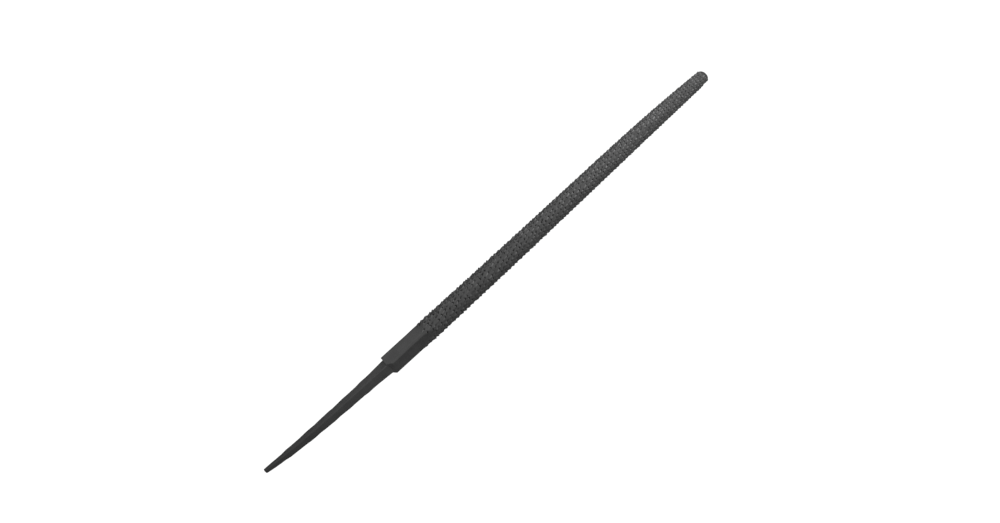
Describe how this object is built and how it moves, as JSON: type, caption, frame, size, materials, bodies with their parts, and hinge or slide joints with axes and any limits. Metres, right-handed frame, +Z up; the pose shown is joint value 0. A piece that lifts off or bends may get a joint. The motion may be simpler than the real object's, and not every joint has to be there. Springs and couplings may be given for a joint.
{
  "type": "round rasp",
  "caption": "Round tapering rasp of dark forged steel with hand-punched teeth, a squared smooth heel, a shoulder and a bare four-sided tang for a handle.",
  "frame": {"origin": "on the tool's axis where the tang meets the shoulder, which is where a handle holds it", "axes": "+X along the tool from the shoulder to the point, +Z up, and +Y across it, towards the side that the tang's end curves to"},
  "size_m": [0.276, 0.0111, 0.011],
  "materials": {
    "tang_steel": "matte",
    "heel_steel": "satin",
    "tooth_steel": "satin",
    "point_steel": "satin"
  },
  "bodies": {
    "root": {"tang": "tang_steel", "heel": "heel_steel", "toothed_body": "tooth_steel", "toothed_point": "point_steel"}
  },
  "joints": []
}
